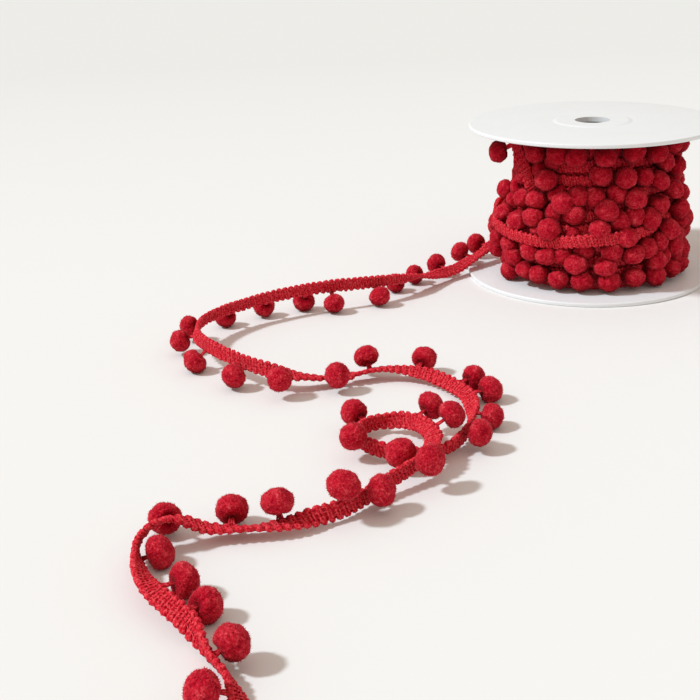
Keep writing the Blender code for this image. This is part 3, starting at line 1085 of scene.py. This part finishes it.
def build_reel(material):
    """Two flanges in place of the plainer solids, and the core's own solid in new plastic."""
    lower = flange_section(0.0, FLANGE_THICKNESS)
    lower += [(SPINDLE_RADIUS, 0.0), (SPINDLE_RADIUS, FLANGE_THICKNESS)]
    flange = lathe("reel_lower_flange_look", lower, material)
    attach(flange, "root")
    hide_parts("reel_lower_flange")
    top = UPPER_FLANGE_TOP - HUB_RING_HEIGHT
    upper = [
        (SPINDLE_RADIUS, top - FLANGE_THICKNESS),
        (SPINDLE_RADIUS, top + HUB_RING_HEIGHT),
        (CORE_RADIUS - HUB_RING_SLOPE, top + HUB_RING_HEIGHT),
        (CORE_RADIUS, top),
    ]
    upper += flange_section(top - FLANGE_THICKNESS, top)
    flange = lathe("reel_upper_flange_look", upper, material)
    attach(flange, "root")
    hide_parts("reel_upper_flange")
    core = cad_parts["reel_core"]
    core.data.materials.clear()
    core.data.materials.append(material)


# Materials


def shader_of(material):
    return material.node_tree.nodes["Principled BSDF"]


def link(material, output, socket):
    material.node_tree.links.new(output, socket)


def new_material(name, roughness):
    material = bpy.data.materials.new(name)
    material.use_nodes = True
    shader_of(material).inputs["Roughness"].default_value = roughness
    return material


def add_node(material, kind, **values):
    node = material.node_tree.nodes.new(kind)
    for socket, value in values.items():
        node.inputs[socket.replace("_", " ")].default_value = value
    return node


def noise_of(material, scale, detail):
    """Noise in the object's own metres."""
    place = add_node(material, "ShaderNodeTexCoord")
    texture = add_node(material, "ShaderNodeTexNoise", Scale=scale, Detail=detail)
    link(material, place.outputs["Object"], texture.inputs["Vector"])
    return texture.outputs["Fac"]


def object_axis(material, axis):
    """One of the object's own coordinates, in metres."""
    place = add_node(material, "ShaderNodeTexCoord")
    split = add_node(material, "ShaderNodeSeparateXYZ")
    link(material, place.outputs["Object"], split.inputs["Vector"])
    return split.outputs[axis]


def ramp(material, factor, stops):
    """A colour between stops, each with its place and its colour."""
    node = add_node(material, "ShaderNodeValToRGB")
    elements = node.color_ramp.elements
    while len(elements) < len(stops):
        elements.new(0.5)
    for element, (position, colour) in zip(elements, stops):
        element.position = position
        element.color = (*colour, 1.0)
    link(material, factor, node.inputs["Fac"])
    return node.outputs["Color"]


def add_bump(material, bump):
    node = add_node(material, "ShaderNodeBump", Strength=bump.strength, Distance=bump.distance)
    link(material, noise_of(material, bump.scale, bump.detail), node.inputs["Height"])
    link(material, node.outputs["Normal"], shader_of(material).inputs["Normal"])


def multiplied(material, colour, shade):
    """One colour times another."""
    mix = add_node(material, "ShaderNodeMix")
    mix.data_type = "RGBA"
    mix.blend_type = "MULTIPLY"
    mix.inputs["Factor"].default_value = 1.0
    link(material, colour, mix.inputs["A"])
    link(material, shade, mix.inputs["B"])
    return mix.outputs["Result"]


def painted_crevice_shade(material, colour, reach):
    """Painted shade: colour that turns to a deep red where other yarn within reach shuts out the
    light.
    """
    open_share = add_node(material, "ShaderNodeAmbientOcclusion", Distance=reach)
    open_share.samples = CREVICE_SAMPLES
    return multiplied(material, colour, ramp(material, open_share.outputs["AO"], CREVICE_SHADE_STOPS))


def painted_flange_shade(material, colour):
    """Painted flange shade: colour that turns to a deeper red up the pack, towards the upper
    flange.
    """
    share = add_node(
        material, "ShaderNodeMapRange", From_Min=FLANGE_SHADE_LOW, From_Max=FLANGE_SHADE_HIGH
    )
    link(material, object_axis(material, "Z"), share.inputs["Value"])
    stops = ((0.0, (1.0, 1.0, 1.0)), (1.0, FLANGE_SHADE))
    return multiplied(material, colour, ramp(material, share.outputs["Result"], stops))


def finish_yarn(material, colour, sheen, specular, bump):
    """Yarn's soft red sheen and hardly any gloss, with fine hairs in its bump."""
    shader = shader_of(material)
    link(material, colour, shader.inputs["Base Color"])
    shader.inputs["Sheen Weight"].default_value = sheen
    shader.inputs["Sheen Tint"].default_value = YARN_SHEEN_TINT
    shader.inputs["Specular IOR Level"].default_value = specular
    add_bump(material, bump)


def braid_material(name, is_wound):
    """Red cotton yarn, speckled by its fibres, with painted shade in crevices and, wound, under
    the flange.
    """
    material = new_material(name, YARN_ROUGHNESS)
    colour = ramp(material, noise_of(material, *BRAID_SPECKLE), BRAID_STOPS)
    # Painted shade in the braid's crevices
    colour = painted_crevice_shade(material, colour, BRAID_CREVICE_REACH)
    # Painted shade of the upper flange on the pack's braid
    if is_wound:
        colour = painted_flange_shade(material, colour)
    finish_yarn(material, colour, BRAID_SHEEN, BRAID_SPECULAR, BRAID_BUMP)
    return material


def pompom_material(name, reach, tone, is_wound):
    """Cut red yarn with painted shade in the hollows and within reach of others, painted light at
    its ends.
    """
    material = new_material(name, YARN_ROUGHNESS)
    # The painted light and shade of each point, with the yarn's own speckle added
    painted_light = add_node(material, "ShaderNodeAttribute")
    painted_light.attribute_name = PAINTED_LIGHT_NAME
    mixed = add_node(material, "ShaderNodeMath")
    mixed.operation = "MULTIPLY_ADD"
    link(material, noise_of(material, *POMPOM_SPECKLE), mixed.inputs[0])
    mixed.inputs[1].default_value = POMPOM_SPECKLE_SHARE
    link(material, painted_light.outputs["Fac"], mixed.inputs[2])
    # tone scales the colours: painted light on the loose end, painted shade on the pack
    stops = [(place, [tone * value for value in colour]) for place, colour in POMPOM_STOPS]
    colour = ramp(material, mixed.outputs["Value"], stops)
    # Painted shade where other yarn within reach shuts out the light
    colour = painted_crevice_shade(material, colour, reach)
    # Painted shade of the upper flange on the pack's pompoms
    if is_wound:
        colour = painted_flange_shade(material, colour)
    finish_yarn(material, colour, POMPOM_SHEEN, POMPOM_SPECULAR, POMPOM_BUMP)
    return material


def yarn_materials():
    """The loose end's materials, with painted light on its pompoms, and the pack's, with painted
    shade.
    """
    pompom = pompom_material("red pompom yarn", LOOSE_CREVICE_REACH, LOOSE_PAINTED_LIGHT, False)
    wound = pompom_material("red wound pompom yarn", WOUND_CREVICE_REACH, WOUND_PAINTED_SHADE, True)
    return {
        "braid": braid_material("red braid yarn", False),
        "wound braid": braid_material("red wound braid yarn", True),
        "pompom": pompom,
        "wound pompom": wound,
    }


def plastic_material():
    """White moulded plastic, slightly mottled and slightly uneven."""
    material = new_material("white reel plastic", PLASTIC_ROUGHNESS)
    tone = ramp(material, noise_of(material, *PLASTIC_MOTTLE), PLASTIC_STOPS)
    link(material, tone, shader_of(material).inputs["Base Color"])
    add_bump(material, PLASTIC_BUMP)
    return material


def floor_material():
    """Pale paper with painted shade that greys it over the first metre behind the reel."""
    material = new_material("pale floor", FLOOR_ROUGHNESS)
    # Painted shade, greyer towards the back
    tone = ramp(material, object_axis(material, "Y"), FLOOR_SHADE_STOPS)
    shader = shader_of(material)
    link(material, tone, shader.inputs["Base Color"])
    shader.inputs["Specular IOR Level"].default_value = FLOOR_SPECULAR
    return material


# The stage


def add_camera():
    data = bpy.data.cameras.new("camera")
    data.sensor_width = SENSOR
    data.lens = FOCAL_PIXELS / PICTURE_PIXELS * SENSOR
    data.clip_end = FARTHEST_SEEN
    camera = new_object("camera", data)
    pitch = Matrix.Rotation(math.pi / 2 - CAMERA_PITCH, 4, "X")
    roll = Matrix.Rotation(CAMERA_ROLL, 4, "Z")
    camera.matrix_world = Matrix.Translation(CAMERA_PLACE) @ pitch @ roll
    bpy.context.scene.camera = camera


def add_light():
    data = bpy.data.lights.new("sun", "SUN")
    data.energy = SUN_STRENGTH
    data.color = SUN_COLOUR
    data.angle = SUN_ANGLE
    sun = new_object("sun", data)
    way = Vector((*SHADOW_RUN, -1.0))
    sun.rotation_euler = way.to_track_quat("-Z", "Y").to_euler()
    world = bpy.data.worlds.new("studio")
    world.use_nodes = True
    sky = world.node_tree.nodes["Background"]
    sky.inputs["Color"].default_value = (*SKY_COLOUR, 1.0)
    sky.inputs["Strength"].default_value = SKY_STRENGTH
    bpy.context.scene.world = world


def add_floor():
    reach = FLOOR_SIZE / 2
    points = [(x * reach, y * reach, 0.0) for x, y in ((-1, -1), (1, -1), (1, 1), (-1, 1))]
    floor = new_mesh("floor", points, [(0, 1, 2, 3)], floor_material())


def main():
    bpy.context.scene.view_settings.view_transform = "Standard"
    add_camera()
    draw = np.random.default_rng(SEED)
    materials = yarn_materials()
    loose_shapes = [pompom_shape(seed, *LOOSE_DETAIL) for seed in LOOSE_SEEDS]
    wound_shapes = [pompom_shape(seed, *WOUND_DETAIL) for seed in WOUND_SEEDS]
    track = loose_track()
    build_tail(track, loose_shapes, draw, materials)
    build_pack(track, wound_shapes, draw, materials)
    build_reel(plastic_material())
    add_light()
    add_floor()


main()
